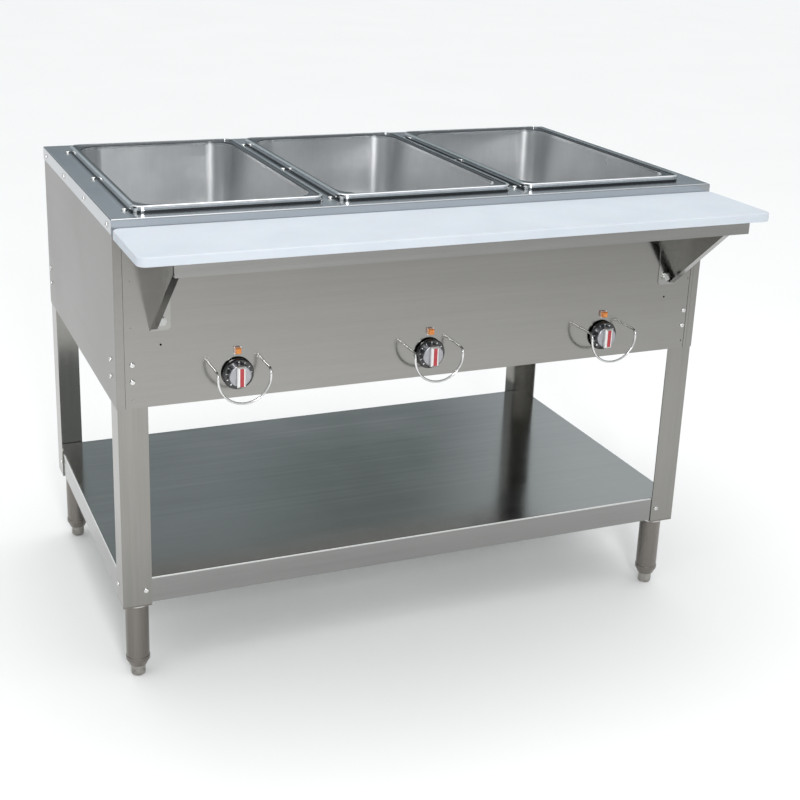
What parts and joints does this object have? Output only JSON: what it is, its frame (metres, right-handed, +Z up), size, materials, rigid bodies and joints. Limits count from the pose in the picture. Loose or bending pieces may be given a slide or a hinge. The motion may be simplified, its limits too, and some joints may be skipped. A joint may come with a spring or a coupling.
{
  "type": "steam table unit",
  "caption": "Electric steam table for a concession stand: deep lift-out pans in a heated cabinet, a front cutting board on brackets, guarded control knobs, an undershelf and adjustable feet.",
  "frame": {"origin": "on the floor under the middle of the whole outline, cutting board included", "axes": "+X runs right along the front, +Y from the front to the back, +Z is up; the control side faces -Y"},
  "size_m": [1.1318, 0.833, 0.853],
  "materials": {
    "stainless": "brushed, long grain",
    "shelf_steel": "brushed, cooler grey",
    "pan_steel": "satin with polished rim",
    "galvanised": "zinc coated, faint spangle",
    "element_sheath": "dark oxidised",
    "insulation": "matt mineral wool",
    "tube_steel": "satin",
    "foot_steel": "turned",
    "board_white": "fine matt texture",
    "bright_metal": "bright plated",
    "skirt_black": "satin gloss",
    "grip_silver": "bright, slightly worn",
    "pointer_red": "gloss",
    "lens_amber": "clear amber",
    "switch_dark": "moulded phenolic",
    "gland_black": "matt",
    "terminal_cream": "matt"
  },
  "bodies": {
    "table": {"back_panel": "stainless", "board_bracket_left": "stainless", "board_bracket_right": "stainless", "board_pins": "bright_metal", "board_shelf": "stainless", "body_screws": "bright_metal", "bottom_panel": "shelf_steel", "bracket_bolts": "bright_metal", "cable_gland": "gland_black", "control_switch_1": "switch_dark", "control_switch_2": "switch_dark", "control_switch_3": "switch_dark", "element_clips": "galvanised", "foot_collars": "tube_steel", "foot_tubes": "tube_steel", "front_panel": "stainless", "heating_element_1": "element_sheath", "heating_element_2": "element_sheath", "heating_element_3": "element_sheath", "indicator_bezels": "bright_metal", "indicator_lenses": "lens_amber", "knob_guard_1": "bright_metal", "knob_guard_2": "bright_metal", "knob_guard_3": "bright_metal", "leg_back_left": "stainless", "leg_back_right": "stainless", "leg_front_left": "stainless", "leg_front_right": "stainless", "shelf_screws": "bright_metal", "side_panel_left": "stainless", "side_panel_right": "stainless", "terminal_block": "terminal_cream", "top_panel": "stainless", "undershelf": "shelf_steel", "well_insulation": "insulation", "well_liner_1": "galvanised", "well_liner_2": "galvanised", "well_liner_3": "galvanised", "well_screws": "bright_metal"},
    "knob_1": {"knob_shaft_1": "bright_metal", "knob_skirt_1": "skirt_black", "knob_grip_1": "grip_silver", "knob_pointer_1": "pointer_red"},
    "lift_out_pan_1": {"pan_1": "pan_steel"},
    "knob_2": {"knob_shaft_2": "bright_metal", "knob_skirt_2": "skirt_black", "knob_grip_2": "grip_silver", "knob_pointer_2": "pointer_red"},
    "lift_out_pan_2": {"pan_2": "pan_steel"},
    "knob_3": {"knob_shaft_3": "bright_metal", "knob_skirt_3": "skirt_black", "knob_grip_3": "grip_silver", "knob_pointer_3": "pointer_red"},
    "lift_out_pan_3": {"pan_3": "pan_steel"},
    "lift_off_board": {"cutting_board": "board_white"},
    "adjuster_front_left": {"foot_front_left": "foot_steel"},
    "adjuster_front_right": {"foot_front_right": "foot_steel"},
    "adjuster_back_left": {"foot_back_left": "foot_steel"},
    "adjuster_back_right": {"foot_back_right": "foot_steel"}
  },
  "joints": [
    {"name": "knob_turn_1", "type": "hinge", "parent": "table", "child": "knob_1", "pos_m": [-0.356, -0.2385, 0.564], "axis": [0, -1, 0], "continuous": true},
    {"name": "knob_turn_2", "type": "hinge", "parent": "table", "child": "knob_2", "pos_m": [0, -0.2385, 0.564], "axis": [0, -1, 0], "continuous": true},
    {"name": "knob_turn_3", "type": "hinge", "parent": "table", "child": "knob_3", "pos_m": [0.356, -0.2385, 0.564], "axis": [0, -1, 0], "continuous": true},
    {"name": "pan_lift_1", "type": "slide", "parent": "table", "child": "lift_out_pan_1", "axis": [0, 0, 1], "range_m": [0, 0.2]},
    {"name": "pan_lift_2", "type": "slide", "parent": "table", "child": "lift_out_pan_2", "axis": [0, 0, 1], "range_m": [0, 0.2]},
    {"name": "pan_lift_3", "type": "slide", "parent": "table", "child": "lift_out_pan_3", "axis": [0, 0, 1], "range_m": [0, 0.2]},
    {"name": "board_lift", "type": "slide", "parent": "table", "child": "lift_off_board", "axis": [0, 0, 1], "range_m": [0, 0.1]},
    {"name": "foot_adjust_front_left", "type": "slide", "parent": "table", "child": "adjuster_front_left", "axis": [0, 0, -1], "range_m": [0, 0.02]},
    {"name": "foot_adjust_front_right", "type": "slide", "parent": "table", "child": "adjuster_front_right", "axis": [0, 0, -1], "range_m": [0, 0.02]},
    {"name": "foot_adjust_back_left", "type": "slide", "parent": "table", "child": "adjuster_back_left", "axis": [0, 0, -1], "range_m": [0, 0.02]},
    {"name": "foot_adjust_back_right", "type": "slide", "parent": "table", "child": "adjuster_back_right", "axis": [0, 0, -1], "range_m": [0, 0.02]}
  ]
}
